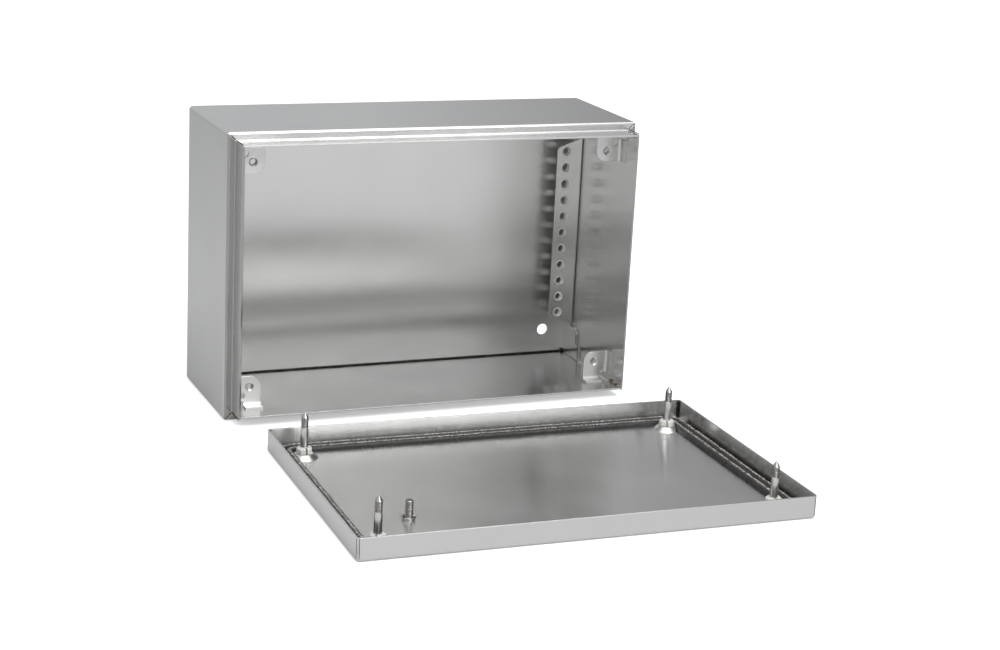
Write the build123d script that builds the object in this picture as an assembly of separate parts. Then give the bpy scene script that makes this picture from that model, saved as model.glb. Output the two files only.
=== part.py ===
from build123d import *
import os

# A stainless junction box that stands open, with its lid lying on its outer face in front of it.
# X runs along the width, Y from the opening to the back, Z up.
# The origin is the middle of the face that the enclosure stands on, below its half depth.

# Sheet metal
sheet = 1.25                # thickness of the enclosure's and the lid's sheet
bend_inside = 0.75          # inner radius of a bend

# Enclosure
width = 300.0
height = 200.0
depth = 99.0                # from the front flange's face to the back
wrap_inside = 1.25          # inner radius of the four long edges
flange_width = 6.0          # from the enclosure's side to the lip's outer face
lip_length = 18.0           # how far the lip stands in front of the flange
pan_gap = 0.3               # open seam above and below the back panel
relief_radius = 1.5         # corner relief at the ends of the back panel's bends
wall_hole_radius = 4.25
wall_hole_inset_x = 20.0
wall_hole_inset_z = 20.0

# Perforated rails at the front of the back pan's side flanges
rail_stand = 15.0           # from the back panel's inner face to the rail's front face
rail_width = 20.5           # from the side flange's outer face to the rail's free edge
rail_taper = 6.5            # how much shorter the free edge is at each end
rail_corner = 3.0
rail_end = 9.5              # from the last hole's centre to the end of the fold
rail_hole_pitch = 12.5
rail_hole_margin = 37.5     # least distance from the floor or roof to the first hole's centre
rail_hole_radius = 2.75
rail_hole_inset = 7.0       # from the rail's free edge to the hole centres
rail_lead = 0.7             # width and depth of each hole's flared entry

# Ears of the side flanges, above and below each rail
ear_slit = 1.0              # cut between the rail's fold and the ear
ear_rise = 5.0              # height of the ear's slanting end
ear_reach = 9.8             # how far the ear stands in front of the rail's face
ear_straight = 8.0          # height of the ear's straight front edge
ear_step = 4.5              # further reach beside the floor and the roof

# Corner lugs, welded inside the lip
lug_sheet = 1.5
lug_bend_inside = 2.0
lug_set_back = 4.5          # from the flange's face to the lug plate's face
lug_leg_front = 2.0         # how far the legs reach in front of the flange's face
lug_edge_x = 8.0            # from the tapped hole's centre to the plate's free edges
lug_edge_z = 7.5
lug_corner = 7.5
lug_gap_x = 7.75            # from the lip's inner face to where each leg begins
lug_gap_z = 5.75
lug_tap_radius = 2.1
lug_tap_lead = 0.9          # width and depth of the tapped hole's drawn lead-in
lug_collar_wall = 1.5
lug_collar_length = 2.0
lug_plain_radius = 2.6
lug_plain_x = 6.0           # from the tapped hole's centre towards the corner
lug_plain_z = 6.0

# Lid
skirt_height = 15.0         # from the surface that the lid lies on to the skirt's rim
lid_corner_inside = 1.75
lid_x = 8.2                 # where the lid's middle lies
lid_gap = 70.5              # from the flange's face to the lid's back edge
lid_turn = -1.6

# Gasket
gasket_width = 12.0
gasket_rise = 4.0
gasket_valley = 0.9         # depth of the groove between its two ridges
gasket_gap = 0.1            # between the skirt's bend and the band
gasket_turn = 8.0           # radius of its middle line at the corners
gasket_clearance = 0.2      # between the band and each dimple
gasket_squeeze = 1.0        # how far the lip sinks in when the lid is closed

# Lid screws
screw_inset_x = 19.5        # from the outer sides to the screw and lug hole centres
screw_inset_z = 21.5
head_lift = 0.3             # between the surface that the lid lies on and the heads
head_radius = 4.25
head_height = 1.9
head_slot_width = 1.2
head_slot_depth = 0.9
shank_radius = 2.5
shank_clearance = 0.3       # in the lid's holes and the sealing washers
shoulder_height = 1.2
shoulder_end = 2.0          # radius where the shoulder meets the thread
thread_radius = 2.4
thread_height = 7.0
thread_through = 0.45       # how far the full thread passes the lug's plate
tip_height = 4.0

# Sealing washers under the heads, and the dimples that hold them
washer_radius = 4.1
washer_height = 0.7
washer_gap = 0.1            # between the head and the washer
head_room = 0.4             # between the head and the top of the dimple's wall
dimple_slope = 3.5          # how much wider the dimple is at its foot
dimple_brim = 1.0           # flat ring round the foot, part of the plate

# Retainers, snapped onto the shanks above the dimples
retainer_sides = 8
retainer_radius = 5.3
retainer_height = 3.9
retainer_chamfer = 1.1
retainer_slot = 1.4
retainer_fit = 0.05
retainer_gap = 0.2          # above the dimple's crown
retainer_turns = {"front_left": -125, "front_right": -95, "back_left": -85, "back_right": -113}

# Earth stud and its contact washer
stud_inset_x = 50.5         # from the lid's left edge
stud_inset_y = 56.0         # from the lid's front edge
stud_radius = 2.5
stud_height = 12.5
stud_chamfer = 0.8
stud_foot_radius = 3.4
stud_foot_height = 0.7
stud_relief_radius = 2.2    # plain stretch between the weld and the thread
stud_relief_length = 0.7
contact_clearance = 0.1
contact_flat = 1.1          # width of the flat ring round the stud
contact_sheet = 0.5
contact_reach = 0.9         # how far the tabs reach out, and how far they turn up
contact_lift = 1.0
contact_tabs = 6
contact_notch = 1.3

# Places worked out from the sizes above
bend = bend_inside + sheet
wrap_corner = wrap_inside + sheet
front = -depth / 2
back = depth / 2
side = width / 2
mid = height / 2
rim_depth = 2 * bend
lip_inner = flange_width + sheet
pan_side = side - sheet
pan_inner = back - sheet
pan_bottom = sheet + pan_gap
rail_face = pan_inner - rail_stand
rail_free = pan_side - rail_width
rail_join = rail_face + 2 * bend
rail_hole_count = int((height - 2 * rail_hole_margin) / rail_hole_pitch + 0.001) + 1
rail_length = (rail_hole_count - 1) * rail_hole_pitch + 2 * rail_end
rail_low = mid - rail_length / 2
lug_face = front + lug_set_back
lug_bend = lug_bend_inside + lug_sheet
lid_corner = lid_corner_inside + sheet
lid_centre = Location((lid_x, front - lid_gap - height / 2, 0), (0, 0, lid_turn))
screw_x = side - screw_inset_x
screw_y = mid - screw_inset_z
dimple_ceiling = head_lift + head_height + washer_gap + washer_height
dimple_crown = dimple_ceiling + sheet
dimple_top = head_radius + head_room + sheet
dimple_foot = dimple_top + dimple_slope
dimple_rim = dimple_foot + dimple_brim
closed_seat = sheet + gasket_rise - gasket_squeeze
thread_top = closed_seat + lip_length + lug_set_back + lug_sheet + thread_through
thread_bottom = thread_top - thread_height
corners = {"front_left": (-1, -1), "front_right": (1, -1), "back_left": (-1, 1), "back_right": (1, 1)}


def outline(points):
    """A flat face inside corners given as (x, y, radius)."""
    face = make_face(Polyline([(x, y) for x, y, _ in points], close=True))
    for x, y, radius in points:
        if radius > 0:
            face = fillet(face.vertices().sort_by_distance((x, y, 0))[0], radius)
    return face


def turned(points):
    """A solid turned about Z from an outline in radius and height."""
    return revolve(Plane.XZ * outline(points), Axis.Z)


def upright(face, bottom, top):
    """A face drawn in X and Y, made solid between two heights."""
    return Pos(0, 0, bottom) * extrude(face, top - bottom)


def disc(radius, bottom, top):
    """A round about Z between two heights."""
    return upright(Circle(radius), bottom, top)


def lengthwise(face, start, end):
    """A face drawn in X and Z, made solid between two depths."""
    plane = Plane(origin=(0, end, 0), x_dir=(1, 0, 0), z_dir=(0, -1, 0))
    return extrude(plane * face, end - start)


def crosswise(face, start, end):
    """A face drawn in Z and Y, made solid between two places along X."""
    plane = Plane(origin=(end, 0, 0), x_dir=(0, 0, 1), z_dir=(-1, 0, 0))
    return extrude(plane * face, end - start)


def into_depth(x, y, z):
    """The place of a hole or collar whose own Z points to the back."""
    return Location((x, y, z), (-90, 0, 0))


def lead_in(bore, lead, length):
    """The inside of a hole with a flared entry and the bore behind it."""
    return turned([(0, 0, 0), (bore + lead, 0, 0), (bore, lead, 0), (bore, length, 0), (0, length, 0)])


def rim_run(span):
    """The flange and lip along one edge of the opening, mitred at both ends.

    The edge lies along X with its middle at the origin, and inwards is up.
    """
    section = outline([
        (0, front + rim_depth, 0),
        (0, front, bend),
        (flange_width, front, bend_inside),
        (flange_width, front - lip_length, 0),
        (lip_inner, front - lip_length, 0),
        (lip_inner, front + sheet, bend),
        (sheet, front + sheet, bend_inside),
        (sheet, front + rim_depth, 0),
    ])
    mitre = outline([(-span / 2, 0, 0), (span / 2, 0, 0), (0, span / 2, 0)])
    run = crosswise(section, -span / 2, span / 2)
    return run & lengthwise(mitre, front - lip_length, front + rim_depth)


def body_wrap():
    """The sheet round top, sides and bottom, with its turned-in flange and forward lip."""
    outer = Pos(0, mid) * RectangleRounded(width, height, wrap_corner)
    inner = Pos(0, mid) * RectangleRounded(width - 2 * sheet, height - 2 * sheet, wrap_inside)
    rim = rim_run(width) + Location((0, 0, height), (0, 180, 0)) * rim_run(width)
    rim += Location((side, 0, mid), (0, -90, 0)) * rim_run(height)
    rim += Location((-side, 0, mid), (0, 90, 0)) * rim_run(height)
    rim = rim & lengthwise(outer, front - lip_length, front + rim_depth)
    return rim + lengthwise(outer - inner, front + rim_depth, back)


def pan_section():
    """The back panel's cross-section, with a flange along each side."""
    reach = rail_face - ear_reach - ear_step

    def channel(half, closed_end, radius):
        return outline([
            (-half, reach, 0), (-half, closed_end, radius), (half, closed_end, radius), (half, reach, 0),
        ])

    return channel(pan_side, back, bend) - channel(pan_side - sheet, pan_inner, bend_inside)


def flange_trim():
    """What is cut from the side flanges' front edges, drawn in Z and Y, to leave the ears."""
    step = rail_face - ear_reach - ear_step
    ear = rail_face - ear_reach
    cut = rail_low - ear_slit
    points = [
        (cut - ear_rise - ear_straight, step), (cut - ear_rise - ear_straight, ear),
        (cut - ear_rise, ear), (cut, rail_join),
    ]
    mirrored = [(height - z, y) for z, y in reversed(points)]
    return outline([(z, y, 0) for z, y in points + mirrored])


def rail():
    """The right rail with its fold and flared holes."""
    section = outline([
        (pan_side, rail_join, 0), (pan_side, rail_face, bend), (rail_free, rail_face, 0),
        (rail_free, rail_face + sheet, 0), (pan_side - sheet, rail_face + sheet, bend_inside),
        (pan_side - sheet, rail_join, 0),
    ])
    high = height - rail_low
    ends = outline([
        (pan_side, rail_low, 0), (pan_side - bend, rail_low, 0),
        (rail_free, rail_low + rail_taper, rail_corner), (rail_free, high - rail_taper, rail_corner),
        (pan_side - bend, high, 0), (pan_side, high, 0),
    ])
    strip = upright(section, rail_low, high) & lengthwise(ends, rail_face, rail_join)
    hole = lead_in(rail_hole_radius, rail_lead, sheet)
    return strip - [
        into_depth(rail_free + rail_hole_inset, rail_face, rail_low + rail_end + step * rail_hole_pitch) * hole
        for step in range(rail_hole_count)
    ]


def back_pan():
    """The back panel with its side flanges, ears, rails, wall holes and corner reliefs."""
    blank = Pos(0, mid) * RectangleRounded(2 * pan_side, height - 2 * pan_bottom, wrap_inside)
    pan = upright(pan_section(), pan_bottom, height - pan_bottom)
    pan &= lengthwise(blank, front, back)
    pan -= crosswise(flange_trim(), -pan_side, pan_side)
    right = rail()
    pan += [right, mirror(right, about=Plane.YZ)]
    holes = []
    for x in (-1, 1):
        for z in (-1, 1):
            hole = Cylinder(wall_hole_radius, 2 * sheet)
            relief = Cylinder(relief_radius, 2 * bend)
            holes.append(
                into_depth(x * (side - wall_hole_inset_x), back, mid + z * (mid - wall_hole_inset_z)) * hole)
            holes.append(into_depth(x * (pan_side - sheet), back, mid + z * (mid - pan_bottom)) * relief)
    return pan - holes


def corner_lug(level, hand):
    """A welded lug: a plate across the corner, with two legs folded forwards along the lip."""
    edge = lug_face + lug_sheet
    leg_front = front - lug_leg_front
    reach_x = screw_inset_x + lug_edge_x
    reach_z = screw_inset_z + lug_edge_z

    def angle(reach):
        return outline([
            (lip_inner, leg_front, 0), (lip_inner, edge, lug_bend), (reach, edge, 0), (reach, lug_face, 0),
            (lip_inner + lug_sheet, lug_face, lug_bend_inside), (lip_inner + lug_sheet, leg_front, 0),
        ])

    start_x = lip_inner + lug_gap_x
    start_z = lip_inner + lug_gap_z
    flat = lip_inner + lug_bend
    web = outline([(start_x, flat, 0), (start_x, start_z, 0), (flat, start_z, 0)])
    lug = upright(angle(reach_x), start_z, reach_z)
    lug += crosswise(angle(reach_z), start_x, reach_x)
    lug += lengthwise(web, lug_face, edge)
    collar = disc(lug_tap_radius + lug_collar_wall, lug_sheet, lug_sheet + lug_collar_length)
    tapped = into_depth(screw_inset_x, lug_face, screw_inset_z)
    plain = into_depth(screw_inset_x - lug_plain_x, lug_face, screw_inset_z - lug_plain_z)
    lug += tapped * collar
    lug -= tapped * lead_in(lug_tap_radius, lug_tap_lead, lug_sheet + lug_collar_length)
    lug -= plain * Cylinder(lug_plain_radius, 2 * lug_sheet + lug_bend)
    lug = fillet(lug.edges().filter_by(Axis.Y).sort_by_distance((reach_x, edge, reach_z))[0], lug_corner)
    lug = Pos(-side, 0, 0) * lug
    if hand == "right":
        lug = mirror(lug, about=Plane.YZ)
    if level == "top":
        lug = mirror(lug, about=Plane.XY.offset(mid))
    return lug


def dimple():
    """The raised cone round one screw, open below for the screw's head."""
    hole = shank_radius + shank_clearance
    return turned([
        (hole, dimple_ceiling, 0), (dimple_top - sheet, dimple_ceiling, 0),
        (dimple_foot - sheet, 0, 0), (dimple_rim, 0, 0), (dimple_rim, sheet, 0),
        (dimple_foot, sheet, 0), (dimple_top, dimple_crown, 0), (hole, dimple_crown, 0),
    ])


def lid_pan():
    """The lid's plate and skirt, with a dimple for each screw."""

    def tray(wall, corner, edge):
        block = upright(RectangleRounded(width - 2 * wall, height - 2 * wall, corner), wall, skirt_height)
        return fillet(block.faces().sort_by(Axis.Z)[0].edges(), edge)

    pan = tray(0, lid_corner, bend) - tray(sheet, lid_corner_inside, bend_inside)
    for x, y in corners.values():
        place = Pos(x * screw_x, y * screw_y)
        pan -= place * disc(dimple_rim, 0, sheet)
        pan += place * dimple()
    return pan


def gasket():
    """The seal: a band with two rounded ridges that follows the skirt and meets the dimples' slopes."""
    half = gasket_width / 2
    ridge = gasket_width / 14
    section = [
        (-half, 0, 0), (-half + ridge / 2, gasket_rise, ridge), (-ridge, gasket_rise, 0),
        (0, gasket_rise - gasket_valley, 0), (ridge, gasket_rise, 0),
        (half - ridge / 2, gasket_rise, ridge), (half, 0, 0),
    ]
    middle = bend + gasket_gap + half
    band = []
    for turn in range(4):
        along, across = (side, mid) if turn % 2 == 0 else (mid, side)
        run = along - middle - gasket_turn
        face = outline([(across - middle + u, v, radius) for u, v, radius in section])
        straight = extrude(Plane(origin=(0, -run, sheet), x_dir=(1, 0, 0), z_dir=(0, -1, 0)) * face, -2 * run)
        centre = Pos(across - middle - gasket_turn, run, sheet)
        profile = outline([(gasket_turn + u, v, radius) for u, v, radius in section])
        corner = centre * revolve(Plane.XZ * profile, Axis.Z, 90)
        spin = Rot(0, 0, 90 * turn + 90)
        band += [spin * straight, spin * corner]
    ring = band[0] + band[1:]
    foot = dimple_foot + gasket_clearance
    top = dimple_top + gasket_clearance
    high = sheet + gasket_rise
    room = turned([(0, 0, 0), (foot, 0, 0), (foot, sheet, 0), (top, dimple_crown, 0), (top, high, 0), (0, high, 0)])
    return ring - [Pos(x * screw_x, y * screw_y) * room for x, y in corners.values()]


def lid_screw():
    """A captive screw: slotted head, plain shank, tapered shoulder, thread and a point."""
    head_top = head_lift + head_height
    screw = turned([
        (0, head_lift, 0), (head_radius, head_lift, 0), (head_radius, head_top, 0),
        (shank_radius, head_top, 0), (shank_radius, thread_bottom - shoulder_height, 0),
        (shoulder_end, thread_bottom, 0), (thread_radius, thread_bottom, 0),
        (thread_radius, thread_top, 0), (0, thread_top + tip_height, 0),
    ])
    slot = upright(Rectangle(2 * head_radius, head_slot_width), head_lift, head_lift + head_slot_depth)
    return screw - slot


def screw_retainer():
    """A white plastic collar with flat sides and a slot towards +X, snapped onto the shank."""
    bottom = dimple_crown + retainer_gap
    top = bottom + retainer_height
    block = upright(RegularPolygon(retainer_radius, retainer_sides), bottom, top)
    cone = turned([
        (0, bottom, 0), (retainer_radius, bottom, 0), (retainer_radius, top - retainer_chamfer, 0),
        (retainer_radius - retainer_chamfer, top, 0), (0, top, 0),
    ])
    bore = disc(shank_radius + retainer_fit, bottom, top)
    slot = upright(Pos(retainer_radius / 2, 0) * Rectangle(retainer_radius, retainer_slot), bottom, top)
    return (block & cone) - bore - slot


def sealing_washer():
    """The ring that seals under a screw's head, against the dimple's ceiling."""
    bottom = dimple_ceiling - washer_height
    return disc(washer_radius, bottom, dimple_ceiling) - disc(shank_radius + shank_clearance, 0, dimple_crown)


def earth_stud():
    """The stud welded to the lid, with the flash of its weld round its foot."""
    top = sheet + stud_height
    foot = sheet + stud_foot_height
    return turned([
        (0, sheet, 0), (stud_foot_radius, sheet, 0), (stud_foot_radius, foot, 0),
        (stud_relief_radius, foot, 0), (stud_relief_radius, foot + stud_relief_length, 0),
        (stud_radius, foot + stud_relief_length, 0), (stud_radius, top - stud_chamfer, 0),
        (stud_radius - stud_chamfer, top, 0), (0, top, 0),
    ])


def contact_washer():
    """The ring on the stud's foot, with tabs turned up all round."""
    bottom = sheet + stud_foot_height
    bore = stud_radius + contact_clearance
    flat = bore + contact_flat
    rim = flat + contact_reach
    ring = turned([
        (bore, bottom, 0), (flat, bottom, 0), (rim, bottom + contact_lift, 0),
        (rim - contact_sheet / 2, bottom + contact_lift + contact_sheet, 0),
        (flat - contact_sheet / 2, bottom + contact_sheet, 0), (bore, bottom + contact_sheet, 0),
    ])
    notch = Pos(rim, 0) * Rectangle(2 * contact_reach, contact_notch)
    for turn in range(contact_tabs):
        place = Rot(0, 0, 360 / contact_tabs * (turn + 0.5))
        ring -= place * upright(notch, bottom, bottom + contact_lift + contact_sheet)
    return ring


def on_lid(piece, x=0.0, y=0.0):
    """A piece drawn about its own axis, set on the lid where it lies."""
    return lid_centre * Pos(x, y) * piece


nodes = {"body_wrap": body_wrap(), "back_pan": back_pan()}
for level in ("top", "bottom"):
    for hand in ("left", "right"):
        nodes[f"lug_{level}_{hand}"] = corner_lug(level, hand)
nodes["lid_pan"] = on_lid(lid_pan())
nodes["gasket"] = on_lid(gasket())
for name, (x, y) in corners.items():
    nodes[f"lid_screw_{name}"] = on_lid(lid_screw(), x * screw_x, y * screw_y)
    retainer = Rot(0, 0, retainer_turns[name]) * screw_retainer()
    nodes[f"screw_retainer_{name}"] = on_lid(retainer, x * screw_x, y * screw_y)
    nodes[f"sealing_washer_{name}"] = on_lid(sealing_washer(), x * screw_x, y * screw_y)
nodes["earth_stud"] = on_lid(earth_stud(), stud_inset_x - side, stud_inset_y - mid)
nodes["contact_washer"] = on_lid(contact_washer(), stud_inset_x - side, stud_inset_y - mid)

os.makedirs("parts", exist_ok=True)
for name, shape in nodes.items():
    export_step(shape, f"parts/{name}.step")
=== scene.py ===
"""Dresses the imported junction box: bare stainless sheet, turned screws, a foamed seal and its studio."""

import logging
import math
from dataclasses import dataclass
from enum import Enum
from typing import Any

import bpy
from bpy.types import ID, Material, Node, NodeSocket, NodeTree, Object
from mathutils import Matrix, Vector, noise


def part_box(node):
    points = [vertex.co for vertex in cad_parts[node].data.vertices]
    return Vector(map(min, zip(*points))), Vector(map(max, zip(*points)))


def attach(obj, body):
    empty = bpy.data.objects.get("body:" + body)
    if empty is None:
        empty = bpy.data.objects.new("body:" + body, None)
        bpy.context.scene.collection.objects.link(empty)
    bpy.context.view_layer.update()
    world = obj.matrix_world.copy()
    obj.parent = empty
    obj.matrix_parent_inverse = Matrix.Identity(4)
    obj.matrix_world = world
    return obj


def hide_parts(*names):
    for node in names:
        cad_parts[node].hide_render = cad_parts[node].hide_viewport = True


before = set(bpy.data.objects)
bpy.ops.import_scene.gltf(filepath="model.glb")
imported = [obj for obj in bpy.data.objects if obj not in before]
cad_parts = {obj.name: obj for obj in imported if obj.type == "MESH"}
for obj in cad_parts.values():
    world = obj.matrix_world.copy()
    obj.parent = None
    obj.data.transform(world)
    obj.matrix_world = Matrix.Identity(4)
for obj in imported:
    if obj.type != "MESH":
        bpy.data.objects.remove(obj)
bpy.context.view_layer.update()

MM = 0.001
LOG = logging.getLogger("junction_box")

Colour = tuple[float, float, float, float]
Pair = tuple[float, float]
Point = tuple[float, float, float]
Faces = list[tuple[int, ...]]


class Hand(Enum):
    """The side of the box that a piece is on."""

    LEFT = -1
    RIGHT = 1


class Level(Enum):
    """The end of the box, or of the lid that covers it, that a piece is at."""

    BOTTOM = -1
    TOP = 1


class Grain(Enum):
    """The way in which a sheet was fed through the belt grinder, and so the way its fine lines run."""

    WIDTHWAYS = (1.0, 0.0, 0.0)
    INWARDS = (0.0, 1.0, 0.0)
    UPRIGHT = (0.0, 0.0, 1.0)


def linear(colour: str) -> Colour:
    """Turns an sRGB hex colour to linear light.

    Args:
        colour: Six hex digits after a hash.

    Returns:
        Red, green, blue and an alpha of 1.
    """
    values = [int(colour[i:i + 2], 16) / 255 for i in (1, 3, 5)]
    red, green, blue = (v / 12.92 if v <= 0.04045 else ((v + 0.055) / 1.055) ** 2.4 for v in values)
    return red, green, blue, 1.0


def add(
    tree: NodeTree, kind: str, settings: dict[str | int, Any] | None = None,
    links: dict[str | int, NodeSocket] | None = None,
) -> Node:
    """Adds one node, sets it up and links its inputs.

    Args:
        tree: The node tree to add to.
        kind: The node's type, without its ShaderNode prefix.
        settings: Values by property name, or by input name or number.
        links: Output sockets by input name or number.

    Returns:
        The new node.
    """
    node = tree.nodes.new("ShaderNode" + kind)
    for key, value in (settings or {}).items():
        if isinstance(key, str) and hasattr(node, key):
            setattr(node, key, value)
        else:
            node.inputs[key].default_value = value
    for key, socket in (links or {}).items():
        tree.links.new(socket, node.inputs[key])
    return node


def empty_material(name: str) -> tuple[Material, NodeTree, NodeSocket]:
    """Makes a material whose tree holds nothing yet but the place on the object.

    Args:
        name: The material's name.

    Returns:
        The material, its node tree and the socket that gives the place.
    """
    material = bpy.data.materials.new(name)
    material.use_nodes = True
    tree = material.node_tree
    tree.nodes.clear()
    return material, tree, add(tree, "TexCoord").outputs["Object"]


def closed(tree: NodeTree, shader: Node) -> None:
    """Links a finished shader to the material's output.

    Args:
        tree: The material's tree.
        shader: The shader node.
    """
    add(tree, "OutputMaterial", links={"Surface": shader.outputs[0]})


def dress(node: str, material: Material) -> Object:
    """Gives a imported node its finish.

    Args:
        node: The node's name.
        material: The finish.

    Returns:
        The node's object, with its shape as it was.
    """
    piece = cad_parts[node]
    piece.data.materials.clear()
    piece.data.materials.append(material)
    return piece


def linked(name: str, data: ID) -> Object:
    """Makes an object and links it to the scene.

    Args:
        name: The object's name.
        data: Its mesh, camera or lamp.

    Returns:
        The new object.
    """
    thing = bpy.data.objects.new(name, data)
    bpy.context.scene.collection.objects.link(thing)
    return thing


def settle(piece: Object) -> None:
    """Puts what a piece's modifiers make of it in the place of its mesh.

    Args:
        piece: The piece, which has no modifiers afterwards.
    """
    bpy.context.view_layer.update()
    made = bpy.data.meshes.new_from_object(piece.evaluated_get(bpy.context.evaluated_depsgraph_get()))
    piece.modifiers.clear()
    piece.data = made


def new_piece(
    name: str, vertices: list[Point], faces: Faces, material: Material, smooth_below: float = 40.0,
) -> Object:
    """Makes a piece from vertices and faces.

    Args:
        name: The piece's name.
        vertices: Places in metres.
        faces: Vertex numbers of each face, turning left as seen from outside.
        material: The finish.
        smooth_below: Edges that bend less than this many degrees are shaded smooth.

    Returns:
        The new object, linked to the scene.
    """
    mesh = bpy.data.meshes.new(name)
    mesh.from_pydata(vertices, [], faces)
    mesh.validate()
    mesh.shade_smooth()
    mesh.set_sharp_from_angle(angle=math.radians(smooth_below))
    mesh.materials.append(material)
    return linked(name, mesh)


def ring_faces(rings: int, sides: int, first: int = 0, looped: bool = False) -> Faces:
    """Joins rings of vertices by faces.

    Args:
        rings: How many rings there are.
        sides: How many vertices each ring has.
        first: The number of the first vertex.
        looped: Whether the last ring joins the first one, in place of a face at each end.

    Returns:
        Vertex numbers of each face.
    """
    count = rings * sides
    faces: Faces = []
    for ring in range(rings if looped else rings - 1):
        for side in range(sides):
            a, b = ring * sides + side, ring * sides + (side + 1) % sides
            faces.append(tuple(first + v % count for v in (a, b, b + sides, a + sides)))
    if not looped:
        faces.append(tuple(range(first + sides - 1, first - 1, -1)))
        faces.append(tuple(range(first + count - sides, first + count)))
    return faces


@dataclass(frozen=True)
class GroundStainless:
    """Austenitic stainless sheet, belt-ground to a fine even grain and left bare.

    It gives the eye a soft grey mirror: what it reflects is drawn out across the grain, and along the
    grain run faint fine lines.
    """

    colour: str = "#d8d8d6"
    roughness: float = 0.18
    anisotropy: float = 0.9
    # A 320 grit belt leaves lines some 0.05 mm apart; they are drawn four times as coarse, to show
    line_mm: float = 0.2
    line_length_mm: float = 30.0
    cloud_mm: float = 45.0
    edge_mm: float = 0.35
    depth_mm: float = 0.004
    # Painted shade: the share of brightness that the upright fronts and the bottom's inside lose from their colour,
    # standing in for the darker things they mirror, and how high that inside is
    front_shade_paint: float = 0.4
    inside_shade_paint: float = 0.3
    inside_below_mm: float = 9.0

    def material(self, name: str, grain: Grain, frame_legs: bool = False) -> Material:
        """Builds the finish for sheet that was fed one way.

        Args:
            name: The material's name.
            grain: The way the grain runs on the sheet's flat middle.
            frame_legs: Whether the sheet is a frame whose upright legs have an upright grain, with painted shade on
                their fronts and the bottom's inside.

        Returns:
            The material.
        """
        material, tree, place = empty_material(name)
        across, along = 1 / (self.line_mm * MM), 1 / (self.line_length_mm * MM)
        facing = add(tree, "NewGeometry").outputs["Normal"]
        shade = None
        if frame_legs:
            second, turned = Grain.UPRIGHT, self.upright_legs(tree, place)
            # Painted shade on the upright legs' fronts and on the bottom's inside
            shade = self.painted_shade_share(tree, place, facing, turned)
        else:
            # An end that faces along the grain was ground along its own length
            second = Grain.INWARDS
            end = add(tree, "VectorMath", {"operation": "DOT_PRODUCT", 1: grain.value}, {0: facing})
            size = add(tree, "Math", {"operation": "ABSOLUTE"}, {0: end.outputs["Value"]})
            turned = add(tree, "Math", {"operation": "GREATER_THAN", 1: 0.7}, {0: size.outputs[0]}).outputs[0]
        first_lines, second_lines = (
            add(tree, "Mapping", {"Scale": tuple(along if v else across for v in way.value)}, {"Vector": place})
            for way in (grain, second))
        lines = add(tree, "Mix", {"data_type": "VECTOR"}, {
            "Factor": turned, 4: first_lines.outputs[0], 5: second_lines.outputs[0]}).outputs[1]
        feed = add(tree, "Mix", {"data_type": "VECTOR", 4: grain.value, 5: second.value},
                   {"Factor": turned}).outputs[1]
        # Reflections spread across the lines, not along them
        across_feed = add(tree, "VectorMath", {"operation": "CROSS_PRODUCT"}, {0: facing, 1: feed}).outputs[0]
        belt = add(tree, "TexNoise", {"Scale": 1.0, "Detail": 3.0, "Roughness": 0.6}, {"Vector": lines})
        cloud = add(tree, "TexNoise", {"Scale": 1 / (self.cloud_mm * MM), "Detail": 2.0}, {"Vector": place})
        worn = add(tree, "Math", {"operation": "MULTIPLY_ADD", 1: 0.3}, {
            0: belt.outputs["Fac"], 2: cloud.outputs["Fac"]})
        rough = add(tree, "MapRange", {
            "From Min": 0.35, "From Max": 0.95, "To Min": self.roughness - 0.03, "To Max": self.roughness + 0.03,
        }, {"Value": worn.outputs[0]})
        tone = add(tree, "MapRange", {"From Min": 0.25, "From Max": 0.75, "To Min": 0.965, "To Max": 1.0},
                   {"Value": belt.outputs["Fac"]})
        # The painted shade darkens the colour
        if shade:
            tone = add(tree, "Math", {"operation": "MULTIPLY"}, {0: tone.outputs[0], 1: shade})
        base = add(tree, "HueSaturation", {"Color": linear(self.colour)}, {"Value": tone.outputs[0]})
        edge = add(tree, "Bevel", {"samples": 4, "Radius": self.edge_mm * MM})
        bump = add(tree, "Bump", {"Strength": 0.2, "Distance": self.depth_mm * MM}, {
            "Height": belt.outputs["Fac"], "Normal": edge.outputs[0]})
        shader = add(tree, "BsdfPrincipled", {"Metallic": 1.0, "Anisotropic": self.anisotropy}, {
            "Base Color": base.outputs[0], "Roughness": rough.outputs[0], "Normal": bump.outputs[0],
            "Tangent": across_feed})
        closed(tree, shader)
        return material

    def upright_legs(self, tree: NodeTree, place: NodeSocket) -> NodeSocket:
        """Finds the upright legs of the enclosure's frame, up to its mitres.

        Args:
            tree: The material's tree.
            place: The place on the object.

        Returns:
            1 on the left and right legs, 0 on the top and bottom ones.
        """
        low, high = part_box("body_wrap")
        middle, half = (low + high) / 2, (high - low) / 2
        folded = add(tree, "VectorMath", {"operation": "SUBTRACT", 1: middle}, {0: place})
        folded = add(tree, "VectorMath", {"operation": "ABSOLUTE"}, {0: folded.outputs[0]})
        inset = add(tree, "VectorMath", {"operation": "SUBTRACT", 0: half}, {1: folded.outputs[0]})
        parts = add(tree, "SeparateXYZ", links={0: inset.outputs[0]})
        return add(tree, "Math", {"operation": "LESS_THAN"}, {0: parts.outputs[0], 1: parts.outputs[2]}).outputs[0]

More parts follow.
